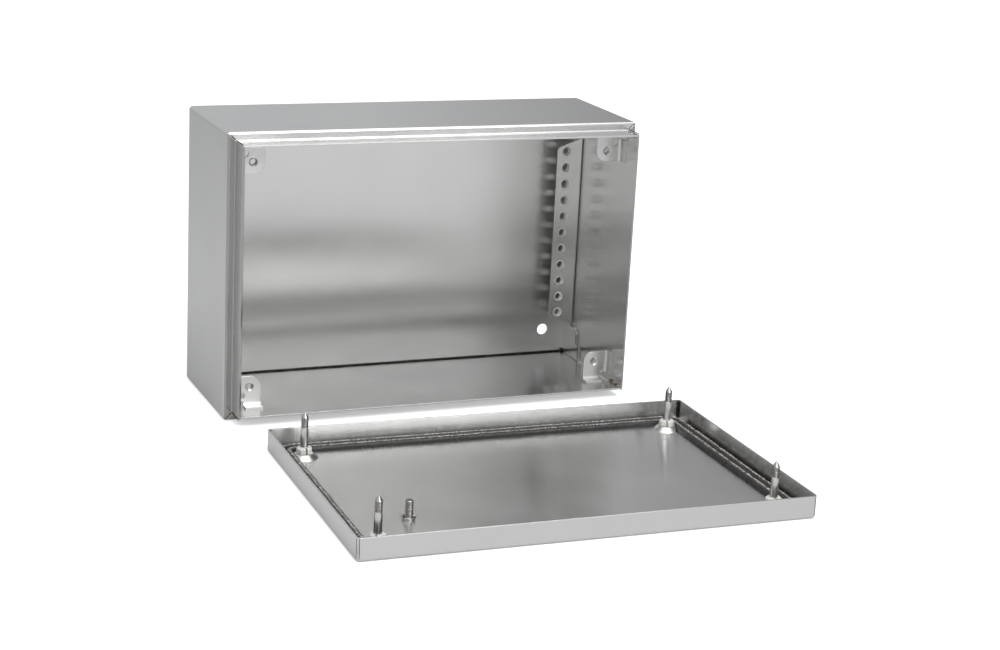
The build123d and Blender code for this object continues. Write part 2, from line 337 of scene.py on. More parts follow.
    def painted_shade_share(self, tree: NodeTree, place: NodeSocket, facing: NodeSocket, legs: NodeSocket) -> NodeSocket:
        """Finds where shade is painted into the colour: the front of the upright legs and the inside of the bottom.

        Args:
            tree: The material's tree.
            place: The place on the object.
            facing: The way in which the surface faces.
            legs: 1 on the upright legs.

        Returns:
            How bright the steel's colour stays under the painted shade, as a share.
        """
        way = add(tree, "SeparateXYZ", links={0: facing}).outputs
        spot = add(tree, "SeparateXYZ", links={0: place}).outputs
        front = add(tree, "Math", {"operation": "LESS_THAN", 1: -0.7}, {0: way[1]}).outputs[0]
        front = add(tree, "Math", {"operation": "MULTIPLY"}, {0: front, 1: legs}).outputs[0]
        low = add(tree, "Math", {"operation": "LESS_THAN", 1: self.inside_below_mm * MM}, {0: spot[2]}).outputs[0]
        up = add(tree, "Math", {"operation": "GREATER_THAN", 1: 0.7}, {0: way[2]}).outputs[0]
        inside = add(tree, "Math", {"operation": "MULTIPLY"}, {0: low, 1: up}).outputs[0]
        share = add(tree, "Math", {"operation": "MULTIPLY_ADD", 1: -self.front_shade_paint, 2: 1.0}, {0: front}).outputs[0]
        return add(tree, "Math", {"operation": "MULTIPLY_ADD", 1: -self.inside_shade_paint}, {
            0: inside, 2: share}).outputs[0]


@dataclass(frozen=True)
class TurnedStainless:
    """Free-cutting stainless, turned and thread-rolled.

    Its fine tool rings draw what it reflects out along its length, into one bright streak; its dark sides are painted
    shade, from a dark tint at grazing angles.
    """

    colour: str = "#dddbd9"
    roughness: float = 0.17
    anisotropy: float = 0.75
    # Painted shade: a dark tint at grazing angles darkens the sides
    grazing_shade_tint: str = "#3c3a38"
    ring_mm: float = 0.25

    def material(self, name: str) -> Material:
        """Builds the finish.

        Args:
            name: The material's name.

        Returns:
            The material.
        """
        material, tree, place = empty_material(name)
        fine = 1 / (self.ring_mm * MM)
        rings = add(tree, "Mapping", {"Scale": (fine / 30, fine / 30, fine)}, {"Vector": place})
        tool = add(tree, "TexNoise", {"Scale": 1.0, "Detail": 2.0}, {"Vector": rings.outputs[0]})
        rough = add(tree, "MapRange", {
            "From Min": 0.3, "From Max": 0.7, "To Min": self.roughness - 0.03, "To Max": self.roughness + 0.04,
        }, {"Value": tool.outputs["Fac"]})
        tone = add(tree, "MapRange", {"From Min": 0.3, "From Max": 0.7, "To Min": 0.95, "To Max": 1.0},
                   {"Value": tool.outputs["Fac"]})
        base = add(tree, "HueSaturation", {"Color": linear(self.colour)}, {"Value": tone.outputs[0]})
        length = add(tree, "CombineXYZ", {2: 1.0}).outputs[0]
        shader = add(tree, "BsdfPrincipled", {
            "Metallic": 1.0, "Specular Tint": linear(self.grazing_shade_tint), "Anisotropic": self.anisotropy,
        }, {"Base Color": base.outputs[0], "Roughness": rough.outputs[0], "Tangent": length})
        closed(tree, shader)
        return material


@dataclass(frozen=True)
class WeldBead:
    """Stainless weld metal, brushed but not ground: ripples with a straw and brown heat tint."""

    bright: str = "#b9b2a4"
    tint: str = "#6f5a41"
    roughness: float = 0.38
    patch_mm: float = 2.5

    def material(self, name: str) -> Material:
        """Builds the finish.

        Args:
            name: The material's name.

        Returns:
            The material.
        """
        material, tree, place = empty_material(name)
        patch = add(tree, "TexNoise", {"Scale": 1 / (self.patch_mm * MM), "Detail": 3.0}, {"Vector": place})
        share = add(tree, "MapRange", {"From Min": 0.42, "From Max": 0.6}, {"Value": patch.outputs["Fac"]})
        base = add(tree, "Mix", {"data_type": "RGBA", 6: linear(self.bright), 7: linear(self.tint)},
                   {"Factor": share.outputs[0]})
        rough = add(tree, "MapRange", {"To Min": self.roughness - 0.1, "To Max": self.roughness + 0.15},
                    {"Value": patch.outputs["Fac"]})
        shader = add(tree, "BsdfPrincipled", {"Metallic": 1.0}, {
            "Base Color": base.outputs[2], "Roughness": rough.outputs[0]})
        closed(tree, shader)
        return material


@dataclass(frozen=True)
class MouldedNylon:
    """Natural white nylon 6, injection moulded: milky, slightly see-through at its edges, half matt."""

    colour: str = "#d6d5d0"
    roughness: float = 0.42
    rough_spread: float = 0.08
    mottle_mm: float = 1.2
    darkest: float = 0.93
    lightest: float = 1.03
    ior: float = 1.53
    milkiness: float = 0.25
    edge_mm: float = 0.3

    def material(self, name: str) -> Material:
        """Builds the finish.

        Args:
            name: The material's name.

        Returns:
            The material.
        """
        material, tree, place = empty_material(name)
        mottle = add(tree, "TexNoise", {"Scale": 1 / (self.mottle_mm * MM), "Detail": 3.0}, {"Vector": place})
        tone = add(tree, "MapRange", {"To Min": self.darkest, "To Max": self.lightest},
                   {"Value": mottle.outputs["Fac"]})
        base = add(tree, "HueSaturation", {"Color": linear(self.colour)}, {"Value": tone.outputs[0]})
        rough = add(tree, "MapRange", {
            "To Min": self.roughness - self.rough_spread, "To Max": self.roughness + self.rough_spread,
        }, {"Value": mottle.outputs["Fac"]})
        shader = add(tree, "BsdfPrincipled", {
            "IOR": self.ior, "Subsurface Weight": self.milkiness, "Subsurface Scale": 0.8 * MM,
            "Subsurface Radius": (1.0, 0.95, 0.85),
        }, {"Base Color": base.outputs[0], "Roughness": rough.outputs[0]})
        if self.edge_mm:
            edge = add(tree, "Bevel", {"samples": 4, "Radius": self.edge_mm * MM})
            tree.links.new(edge.outputs[0], shader.inputs["Normal"])
        closed(tree, shader)
        return material


@dataclass(frozen=True)
class MouldedRubber(MouldedNylon):
    """Black nitrile rubber, compression moulded: dull, with a faint bloom."""

    colour: str = "#2b2a29"
    roughness: float = 0.6
    rough_spread: float = 0.0
    mottle_mm: float = 1.5
    darkest: float = 0.8
    lightest: float = 1.3
    ior: float = 1.52
    milkiness: float = 0.0
    edge_mm: float = 0.0


@dataclass(frozen=True)
class FoamedSeal:
    """Two-part polyurethane foam, poured in a bead: a near-black skin, pimpled, with small bright glints painted on
    the crests of its ridges.
    """

    colour: str = "#252321"
    roughness: float = 0.26
    pimple_mm: float = 1.3
    patch_mm: float = 14.0
    height_mm: float = 0.5
    # Painted highlight: pale dots on the crests of its ridges stand in for glints
    glint_paint_colour: str = "#c4c0ba"
    crest_from_mm: float = 4.86
    crest_to_mm: float = 5.04

    def material(self, name: str) -> Material:
        """Builds the finish.

        Args:
            name: The material's name.

        Returns:
            The material.
        """
        material, tree, place = empty_material(name)
        cells = add(tree, "TexNoise", {"Scale": 1 / (self.pimple_mm * MM), "Detail": 4.0, "Roughness": 0.65},
                    {"Vector": place})
        patch = add(tree, "TexNoise", {"Scale": 1 / (self.patch_mm * MM), "Detail": 2.0}, {"Vector": place})
        tone = add(tree, "MapRange", {"From Min": 0.3, "From Max": 0.7, "To Min": 0.65, "To Max": 1.3},
                   {"Value": cells.outputs["Fac"]})
        base = add(tree, "HueSaturation", {"Color": linear(self.colour)}, {"Value": tone.outputs[0]})
        height = add(tree, "SeparateXYZ", links={0: place}).outputs[2]
        # Painted highlight: pale dots where the crests are highest
        crest = add(tree, "MapRange", {
            "From Min": self.crest_from_mm * MM, "From Max": self.crest_to_mm * MM}, {"Value": height})
        dots = add(tree, "MapRange", {"From Min": 0.42, "From Max": 0.56}, {"Value": cells.outputs["Fac"]})
        shine = add(tree, "Math", {"operation": "MULTIPLY"}, {0: crest.outputs[0], 1: dots.outputs[0]})
        base = add(tree, "Mix", {"data_type": "RGBA", 7: linear(self.glint_paint_colour)}, {
            "Factor": shine.outputs[0], 6: base.outputs[0]})
        rough = add(tree, "MapRange", {
            "From Min": 0.3, "From Max": 0.7, "To Min": self.roughness - 0.12, "To Max": self.roughness + 0.15,
        }, {"Value": patch.outputs["Fac"]})
        bump = add(tree, "Bump", {"Strength": 0.8, "Distance": self.height_mm * MM},
                   {"Height": cells.outputs["Fac"]})
        shader = add(tree, "BsdfPrincipled", {"IOR": 1.5}, {
            "Base Color": base.outputs[2], "Roughness": rough.outputs[0], "Normal": bump.outputs[0]})
        closed(tree, shader)
        return material


@dataclass(frozen=True)
class Thread:
    """A rolled metric thread on a turned piece, with its sizes in millimetres."""

    bottom: float
    top: float
    pitch: float = 0.8
    depth: float = 0.45
    fade: float = 0.5

    def cut(self, height: float, turn: float) -> float:
        """Tells how deep the groove is at one place.

        Args:
            height: The place's height in millimetres.
            turn: Its angle round the axis, as a share of a full turn.

        Returns:
            The groove's depth there in millimetres.
        """
        inside = min(height - self.bottom, self.top - height) / self.fade
        ease = min(max(inside, 0.0), 1.0)
        phase = (height / self.pitch - turn) % 1.0
        groove = min(max(1.25 * (1 - abs(2 * phase - 1)) - 0.1, 0.0), 1.0)
        return self.depth * ease * groove


@dataclass
class TurnedBody:
    """A piece turned about an upright axis, with an optional thread. All sizes are in millimetres."""

    outline: list[Pair]
    thread: Thread | None = None
    thread_steel: Material | None = None
    segments: int = 48
    row_mm: float = 0.1

    def build(self, name: str, place: Vector, material: Material) -> Object:
        """Makes the piece, closed at both ends of its outline.

        Args:
            name: The piece's name.
            place: The foot of its axis, in metres; the outline's heights are counted from there.
            material: The finish.

        Returns:
            The new object.
        """
        rows = self.rows()
        vertices: list[Point] = []
        for radius, height in rows:
            for step in range(self.segments):
                turn = step / self.segments
                cut = self.thread.cut(height, turn) if self.thread else 0.0
                spread = (radius - cut) * MM
                angle = turn * math.tau
                vertices.append((place.x + spread * math.cos(angle), place.y + spread * math.sin(angle),
                                 place.z + height * MM))
        piece = new_piece(name, vertices, ring_faces(len(rows), self.segments), material, smooth_below=25.0)
        if self.thread and self.thread_steel:
            piece.data.materials.append(self.thread_steel)
            for face in piece.data.polygons:
                face.material_index = int(face.center.z > place.z + self.thread.bottom * MM)
        return piece

    def rows(self) -> list[Pair]:
        """Adds close rows to the outline where the thread is.

        Returns:
            Radius and height of each row.
        """
        rows = [self.outline[0]]
        for (r0, z0), (r1, z1) in zip(self.outline, self.outline[1:]):
            count = 1
            if self.thread and z1 > self.thread.bottom and z0 < self.thread.top and z1 > z0:
                count = max(1, math.ceil((z1 - z0) / self.row_mm))
            rows += [(r0 + (r1 - r0) * i / count, z0 + (z1 - z0) * i / count) for i in range(1, count + 1)]
        return rows


def weld_run(
    name: str, start: Vector, end: Vector, radius_mm: float, material: Material, seed: float,
    sink: Vector = Vector(), flatten: float = 1.0, step_mm: float = 0.45,
) -> Object:
    """Lays a rippled bead of weld metal along a straight seam.

    Args:
        name: The piece's name.
        start: Where the bead begins, in metres.
        end: Where it ends.
        radius_mm: The bead's radius.
        material: The finish.
        seed: Shifts the noise that makes each bead its own.
        sink: The way in which the bead is flattened, as a unit vector, if it is.
        flatten: How thick the bead stays along that way, as a share.
        step_mm: How far apart its rings of vertices are.

    Returns:
        The new object.
    """
    along = end - start
    length = along.length
    along.normalize()
    side = along.orthogonal().normalized()
    other = along.cross(side)
    steps, sides, taper = max(8, round(length / (step_mm * MM))), 12, 1.2 * radius_mm * MM
    vertices: list[Point] = []
    for step in range(steps + 1):
        reach = length * step / steps
        end_gap = min(reach, length - reach)
        ease = math.sqrt(max(0.0, 1 - (1 - min(end_gap / taper, 1.0)) ** 2)) * 0.97 + 0.03
        ripple = 1 + 0.07 * math.sin(reach / (0.9 * MM) * math.tau)
        for turn in range(sides):
            angle = turn / sides * math.tau
            out = side * math.cos(angle) + other * math.sin(angle)
            lump = 1 + 0.3 * noise.noise((start + along * reach) * 350 + out * 0.8 + Vector((seed, seed, 0)))
            offset = out * radius_mm * MM * ease * ripple * lump
            offset -= sink * offset.dot(sink) * (1 - flatten)
            vertices.append(tuple(start + along * reach + offset))
    return new_piece(name, vertices, ring_faces(steps + 1, sides), material, smooth_below=60.0)


@dataclass
class Enclosure:
    """The box itself: the wrap with its flange and lip, the back pan with its rails, and the four lugs."""

    sheet_mm: float = 1.25
    flange_mm: float = 6.0
    lip_mm: float = 18.0
    steel: GroundStainless = GroundStainless()
    # The pan's steel is a little lighter than the wrap's, as painted light for the box's inside
    pan_steel: GroundStainless = GroundStainless(colour="#dededc", roughness=0.24)
    lug_steel: GroundStainless = GroundStainless(colour="#dadad8", roughness=0.32, anisotropy=0.85, edge_mm=0.5)
    seam_mm: float = 0.7
    # Radii of the beads: dressed outside, undercut beside them, as welded inside, plug in a relief; the undercuts and
    # the plug are dark runs of painted shade
    bead_mm: float = 0.5
    undercut_mm: float = 0.3
    mitre_undercut_mm: float = 0.32
    inside_bead_mm: float = 1.1
    plug_mm: float = 1.6
    plug_length_mm: float = 2.6
    # How far the plugs in the back corners are from the side, the top or bottom, and the back
    relief_mm: Point = (2.5, 2.6, 0.9)
    # The rail's holes, and the radius and depth of the points round a collar's section
    rail_face_mm: float = 33.25
    hole_x_mm: float = 135.25
    hole_low_mm: float = 37.5
    hole_pitch_mm: float = 12.5
    hole_count: int = 11
    collar_outline: tuple[Pair, ...] = (
        (3.65, 0.05), (3.3, -0.16), (2.95, 0.1), (2.5, 1.0), (2.3, 2.9), (2.9, 2.9), (3.1, 1.2))
    # Depth and height of the points along the edge of the pan's ear
    ear_outline: tuple[Pair, ...] = (
        (31.0, 25.5), (23.6, 20.5), (23.6, 12.5), (19.1, 12.5), (19.1, 0.8))

    def build(self) -> list[Object]:
        """Dresses the box and lays its welds.

        Returns:
            Every piece that shows.
        """
        wrap = self.steel.material("ground_stainless_wrap", Grain.WIDTHWAYS, frame_legs=True)
        pan = self.pan_steel.material("ground_stainless_pan", Grain.UPRIGHT)
        lugs = self.lug_steel.material("ground_stainless_lugs", Grain.WIDTHWAYS)
        shown = [dress("body_wrap", wrap), dress("back_pan", pan)]
        for level in Level:
            for hand in Hand:
                shown.append(dress(f"lug_{level.name.lower()}_{hand.name.lower()}", lugs))
        beads = {
            Level.TOP: WeldBead("#e6e4de", "#c9c2b4", 0.3).material("dressed_weld"),
            Level.BOTTOM: WeldBead("#c2b5a2", "#9a7b5c", 0.34).material("heat_tinted_weld"),
        }
        rough = WeldBead().material("stainless_weld")
        # Near-black runs of painted shade, for the undercuts, the relief plugs, the ear lines and the pan seams
        dark = WeldBead("#3a3735", "#242120", 0.55).material("undercut_by_weld")
        # Painted highlight: the collars' steel is lighter than the sheet's
        collar_highlight = GroundStainless(colour="#f2f2f0", roughness=0.45, anisotropy=0.0).material(
            "burnished_collars", Grain.UPRIGHT)
        drawn: list[Object] = []
        for level in Level:
            for hand in Hand:
                drawn += self.corner_welds(level, hand, beads[level], rough, dark)
            drawn.append(self.pan_seam(level, dark))
            for hand in Hand:
                drawn += self.ear_edges(level, hand, dark)
        drawn += [self.rail_collars(hand, collar_highlight) for hand in Hand]
        for piece in drawn:
            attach(piece, "enclosure")
        return shown + drawn

    def corner(self, node: str, level: Level, hand: Hand) -> Pair:
        """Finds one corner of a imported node, as seen from the front.

        Args:
            node: The node's name.
            level: Bottom or top.
            hand: Left or right.

        Returns:
            The corner's x and z.
        """
        low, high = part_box(node)
        return (high if hand is Hand.RIGHT else low).x, (high if level is Level.TOP else low).z

    def pan_seam(self, level: Level, dark: Material) -> Object:
        """Draws the dark line between the back panel and the wrap's floor or roof, as a dark run laid in the seam.

        Args:
            level: Bottom or top.
            dark: Its finish.

        Returns:
            The filling.
        """
        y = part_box("back_pan")[1].y - (self.sheet_mm + 0.35) * MM
        left, right = (Vector((x - hand.value * MM, y, z - level.value * 0.25 * MM))
                       for hand in Hand for x, z in [self.corner("back_pan", level, hand)])
        return weld_run(f"seam_filling_{level.name.lower()}", left, right, self.seam_mm, dark, left.z, step_mm=3.0)

    def rail_collars(self, hand: Hand, collar_highlight: Material) -> Object:
        """Draws the swaged collars round one rail's holes in a lighter steel, a painted highlight for the light
        caught inside each hole.

        Args:
            hand: Left or right.
            collar_highlight: Their steel, brighter than the sheet's, a painted highlight.

        Returns:
            The row of collars.
        """
        vertices: list[Point] = []
        faces: Faces = []
        turns = 28
        for number in range(self.hole_count):
            rings = ring_faces(len(self.collar_outline), turns, len(vertices), looped=True)
            faces += [face[::-1] for face in rings]
            z = self.hole_low_mm + self.hole_pitch_mm * number
            for radius, depth in self.collar_outline:
                for step in range(turns):
                    angle = math.tau * step / turns
                    vertices.append((
                        (hand.value * self.hole_x_mm + radius * math.cos(angle)) * MM,
                        (self.rail_face_mm + depth) * MM, (z + radius * math.sin(angle)) * MM))
        return new_piece(f"rail_collars_{hand.name.lower()}", vertices, faces, collar_highlight)

    def ear_edges(self, level: Level, hand: Hand, dark: Material) -> list[Object]:
        """Lays a dark run along the back pan's ear, where it lies against the wrap's wall: painted shade for the gap
        there.

        Args:
            level: Bottom or top.
            hand: Left or right.
            dark: The line's painted shade.

        Returns:
            The line's straight lengths.
        """
        x, foot = self.corner("back_pan", level, hand)
        x -= hand.value * (self.sheet_mm + 0.1) * MM
        points = [Vector((x, y * MM, foot - level.value * z * MM)) for y, z in self.ear_outline]
        return [weld_run(
            f"ear_edge_{number}_{level.name.lower()}_{hand.name.lower()}", start, end, 0.4, dark, number,
            Vector((1, 0, 0)), 0.4, step_mm=1.5) for number, (start, end) in enumerate(zip(points, points[1:]), 1)]

    def corner_welds(self, level: Level, hand: Hand, bead: Material, rough: Material, dark: Material) -> list[Object]:
        """Lays the welds that close one corner of the front frame.

        Args:
            level: Top or bottom.
            hand: Left or right.
            bead: The finish of the dressed beads outside.
            rough: The finish of the bead inside, left as welded.
            dark: The painted shade of the narrow undercuts beside the beads and of the plug in the relief.

        Returns:
            The beads.
        """
        low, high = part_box("body_wrap")
        x, z = self.corner("body_wrap", level, hand)
        inwards = Vector((-hand.value, 0, -level.value))
        lip_front, flange_front = low.y, low.y + self.lip_mm * MM
        corner = Vector((x, 0, z)) + inwards * self.flange_mm * MM
        name = f"{level.name.lower()}_{hand.name.lower()}"
        front = Vector((corner.x, lip_front + 0.5 * MM, corner.z))
        root = Vector((corner.x, flange_front - 0.4 * MM, corner.z))
        inner = inwards * (self.sheet_mm + 0.3) * MM
        aside = Vector((0, 0, level.value * 0.4 * MM))
        outer = Vector((x, flange_front, z)) + inwards * 1.6 * MM
        inmost = Vector((corner.x, flange_front, corner.z)) - inwards * 0.3 * MM
        depth = Vector((0, 1, 0))
        aside_mm, foot_mm, back_mm = self.relief_mm
        plug = Vector((x - hand.value * aside_mm * MM, high.y - back_mm * MM, z - level.value * foot_mm * MM))
        edge, cut = inwards * 0.35 * MM, inwards * 0.1 * MM + 1.8 * aside
        # The undercuts and the relief plug are dark runs: painted shade in the grooves and in the hole
        return [
            weld_run(f"lip_weld_{name}", front + edge, root + edge, self.bead_mm, bead, x + z),
            weld_run(f"lip_undercut_{name}", front + cut, root + cut, self.undercut_mm, dark, x),
            weld_run(f"mitre_weld_{name}", outer - aside, inmost - aside, self.bead_mm, bead, x + 2 * z, depth, 0.4),
            weld_run(f"mitre_undercut_{name}", outer + aside, inmost + aside, self.mitre_undercut_mm, dark, z,
                     depth, 0.5),
            weld_run(f"lip_weld_inside_{name}", front + inner + 2.5 * MM * depth, root + inner + MM * depth,
                     self.inside_bead_mm, rough, x - z),
            weld_run(f"relief_weld_{name}", plug, plug - self.plug_length_mm * MM * depth, self.plug_mm, dark,
                     x - 2 * z),
        ]


@dataclass
class Lid:
    """The lid's pan with its foamed seal."""

    # The middle and turn of the lid as it lies, and the sizes that its corner seams follow
    middle: Point = (8.2, -220.0, 0.0)
    turn_degrees: float = -1.6
    half_sides: Pair = (150.0, 100.0)
    corner_radius: float = 3.0
    rim_mm: float = 15.0
    sheet_mm: float = 1.25
    steel: GroundStainless = GroundStainless(roughness=0.24, anisotropy=0.92)
    foam: FoamedSeal = FoamedSeal()
    voxel_mm: float = 0.5
    # The poured bead's wander and swelling: waves per metre and their size, and how far it sank
    sway_waves: float = 60
    sway_mm: float = 0.35
    swells: tuple[Pair, ...] = ((220, 0.12), (620, 0.22))
    sunk_mm: float = 0.2
    # The band's middle line, the radius at its corners, and half the distance between its ridges
    band_inset: float = 8.1
    band_turn: float = 8.0
    ridge_half_mm: float = 3.0
    ridge_fall_mm: float = 1.5

    def build(self) -> list[Object]:
        """Dresses the pan and pours the seal.

        Returns:
            Every piece that shows.
        """
        pan = dress("lid_pan", self.steel.material("ground_stainless_lid", Grain.WIDTHWAYS))
        bead = WeldBead("#dedcd8", "#c4beb2", 0.32).material("dressed_lid_weld")
        # Near-black runs of painted shade for the corner undercuts and root
        dark = WeldBead("#4c4643", "#35302d", 0.5).material("undercut_by_lid_weld")
        drawn = [seam for level in Level for hand in Hand for seam in self.corner_seam(level, hand, bead, dark)]
        seal = self.seal()
        drawn += self.rims()
        for piece in drawn:
            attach(piece, "lid")
        return [pan, seal, *drawn]

    def laid(self, spot: Vector) -> Vector:
        """Turns a place in the lid's own frame, in millimetres, to one in the scene, in metres."""
        return (Vector(self.middle) + Matrix.Rotation(math.radians(self.turn_degrees), 3, "Z") @ spot) * MM

    def rims(self) -> list[Object]:
        """Rounds the skirt's rim along its four sides in a lighter steel, a painted highlight for the bright line it
        shows.

        Returns:
            The four rounded edges.
        """
        # Painted highlight: a lighter steel makes the rim's bright line
        bright = GroundStainless(colour="#f4f4f2", roughness=0.35, anisotropy=0.0).material(
            "deburred_rim", Grain.WIDTHWAYS)
        rims = []
        for name, along, across in (("front", 0, -1), ("back", 0, 1), ("left", 1, -1), ("right", 1, 1)):
            ends = []
            for end in (-1, 1):
                spot = Vector((0, 0, self.rim_mm - 0.6))
                spot[along] = end * (self.half_sides[along] - self.corner_radius)
                spot[1 - along] = across * (self.half_sides[1 - along] - self.sheet_mm / 2)
                ends.append(self.laid(spot))
            rims.append(weld_run(f"deburred_rim_{name}", *ends, 0.45, bright, across, step_mm=6.0))
        return rims

    def corner_seam(self, level: Level, hand: Hand, bead: Material, dark: Material) -> list[Object]:
        """Lays the upright weld of one corner of the skirt, with its undercuts and its dark root inside, whose
        darkness is painted shade.

        Args:
            level: The end that the corner is at; the bottom one is nearer to the eye.
            hand: Left or right.
            bead: The dressed bead's finish.
            dark: The painted shade of the undercuts and the root.

        Returns:
            The beads.
        """
        half_x, half_y = (side - self.corner_radius for side in self.half_sides)
        bend = Vector((hand.value * half_x, level.value * half_y, 0))
        diagonal = math.atan2(level.value, hand.value)
        name = f"{'front' if level is Level.BOTTOM else 'back'}_{hand.name.lower()}"
        seams = []
        for part, finish, radius, reach, swing, foot in (
            ("weld", bead, 0.45, self.corner_radius - 0.3, 0, 1.6),
            ("undercut_near", dark, 0.28, self.corner_radius - 0.2, -19, 1.6),
            ("undercut_far", dark, 0.28, self.corner_radius - 0.2, 19, 1.6),
            ("root", dark, 0.7, self.corner_radius - self.sheet_mm - 0.3, 0, 2.0),
        ):
            angle = diagonal + math.radians(swing)
            spot = bend + Vector((math.cos(angle), math.sin(angle), 0)) * reach
            low, high = (self.laid(spot + Vector((0, 0, height))) for height in (foot, self.rim_mm - 0.2))
            seams.append(weld_run(f"lid_corner_{part}_{name}", low, high, radius, finish, reach + swing))
        return seams

    def from_ridge(self, spot: Vector) -> float:
        """Measures how far a place is from the crest of the nearer of the seal's two ridges.

        Args:
            spot: The place in the lid's own frame, in millimetres.

        Returns:
            The distance across the band, in millimetres.
        """
        over = [abs(v) - (half - self.band_inset - self.band_turn) for v, half in zip(spot, self.half_sides)]
        outside = math.hypot(*(max(v, 0.0) for v in over)) + min(max(over), 0.0)
        return abs(abs(outside - self.band_turn) - self.ridge_half_mm)

    def seal(self) -> Object:
        """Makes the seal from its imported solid, with the swelling and wander of a poured bead.

        Returns:
            The seal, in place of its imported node.
        """
        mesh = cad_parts["gasket"].data.copy()
        mesh.name = "foamed_seal"
        piece = linked("foamed_seal", mesh)
        voxels = piece.modifiers.new("even_mesh", "REMESH")
        voxels.mode = "VOXEL"
        voxels.voxel_size = self.voxel_mm * MM
        settle(piece)
        poured = piece.data
        heights = [v.co.z for v in poured.vertices]
        low, high = min(heights), max(heights)
        level = Matrix.Rotation(math.radians(-self.turn_degrees), 3, "Z")
        for vertex in poured.vertices:
            share = (vertex.co.z - low) / (high - low)
            aside = self.from_ridge(level @ (vertex.co / MM - Vector(self.middle)))
            vertex.co.z -= self.ridge_fall_mm * min(aside / self.ridge_half_mm, 1.25) ** 2 * share * MM
            sway = noise.noise_vector(vertex.co * self.sway_waves) * self.sway_mm * MM
            swell = sum(noise.noise(vertex.co * waves) * size for waves, size in self.swells)
            vertex.co += Vector((sway.x, sway.y, 0)) * share
            vertex.co.z += (swell - self.sunk_mm) * share * MM
        poured.shade_smooth()
        poured.materials.clear()
        poured.materials.append(self.foam.material("foamed_polyurethane"))
        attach(piece, "lid")
        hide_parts("gasket")
        return piece


@dataclass
class CaptiveScrew:
    """One lid screw with its retainer and sealing washer. Heights are in millimetres above the lid's foot."""

    corner: str
    steel: Material
    thread_steel: Material
    nylon: Material
    rubber: Material
    head_radius: float = 4.25
    head_bottom: float = 0.3
    head_top: float = 2.2
    shank_radius: float = 2.5
    shoulder: float = 20.5
    shoulder_end: float = 2.0
    thread_radius: float = 2.4
    thread_bottom: float = 21.7
    thread_top: float = 28.7
    tip_radius: float = 0.2
    top: float = 32.7
    slot_half_width: float = 0.6
    slot_depth: float = 1.0

    def build(self) -> list[Object]:
        """Turns the screw and dresses what it carries.

        Returns:
            Every piece that shows.
        """
        node = f"lid_screw_{self.corner}"
        low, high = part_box(node)
        axis = Vector(((low.x + high.x) / 2, (low.y + high.y) / 2, low.z - self.head_bottom * MM))
        body = TurnedBody(self.outline(), Thread(self.thread_bottom, self.thread_top + 0.3), self.thread_steel)
        screw = body.build(f"captive_screw_{self.corner}", axis, self.steel)
        self.cut_slot(screw, axis)
        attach(screw, f"screw_{self.corner}")
        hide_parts(node)
        retainer = dress(f"screw_retainer_{self.corner}", self.nylon)
        washer = dress(f"sealing_washer_{self.corner}", self.rubber)
        return [screw, retainer, washer]

    def outline(self) -> list[Pair]:
        """Draws the screw's outline.

        Returns:
            Radius and height of each point, from the head to the tip.
        """
        return [
            (self.head_radius - 0.35, self.head_bottom), (self.head_radius, self.head_bottom + 0.35),
            (self.head_radius, self.head_top - 0.1), (self.head_radius - 0.1, self.head_top),
            (self.shank_radius, self.head_top), (self.shank_radius, self.shoulder),
            (self.shoulder_end, self.thread_bottom), (self.thread_radius, self.thread_bottom + 0.25),
            (self.thread_radius, self.thread_top), (self.tip_radius, self.top - self.tip_radius),
            (self.tip_radius / 2, self.top),
        ]

    def cut_slot(self, screw: Object, axis: Vector) -> None:
        """Mills the screwdriver slot across the head.

        Args:
            screw: The turned screw.
            axis: The foot of its axis, in metres.
        """
        half, width, depth = (self.head_radius + 0.5) * MM, self.slot_half_width * MM, self.slot_depth * MM
        base = axis.z + (self.head_bottom - 0.5) * MM
        top = axis.z + self.head_bottom * MM + depth
        corners = [(axis.x + i * half, axis.y + j * width, z) for z in (base, top) for i, j in (
            (-1, -1), (1, -1), (1, 1), (-1, 1))]
        mill = new_piece("slot_mill", corners, ring_faces(2, 4), self.steel)
        cutter = screw.modifiers.new("slot", "BOOLEAN")
        cutter.object = mill
        cutter.solver = "EXACT"
        settle(screw)
        bpy.data.objects.remove(mill)


@dataclass
class EarthStud:
    """The welded earth stud and its contact washer. Heights are in millimetres above the lid's plate."""

    steel: Material
    thread_steel: Material
    foot_radius: float = 3.4
    foot_top: float = 0.7
    relief_radius: float = 2.2
    relief_top: float = 1.4
    radius: float = 2.5
    top: float = 12.5

    def build(self) -> list[Object]:
        """Turns the stud and dresses its washer.

        Returns:
            The stud and the washer.
        """
        low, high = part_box("earth_stud")
        axis = Vector(((low.x + high.x) / 2, (low.y + high.y) / 2, low.z))
        crown = [(self.radius - 0.8 + 0.8 * math.cos(a), self.top - 0.8 + 0.8 * math.sin(a))
                 for a in (math.radians(15 * i) for i in range(7))]
        outline = [
            (self.foot_radius, 0.0), (self.foot_radius, self.foot_top - 0.25),
            (self.foot_radius - 0.3, self.foot_top), (self.relief_radius, self.foot_top),
            (self.relief_radius, self.relief_top), (self.radius, self.relief_top + 0.3), *crown,
        ]
        body = TurnedBody(outline, Thread(self.relief_top, self.top - 0.5), self.thread_steel)
        stud = body.build("threaded_stud", axis, self.steel)
        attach(stud, "lid")
        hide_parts("earth_stud")
        return [stud, dress("contact_washer", self.steel)]


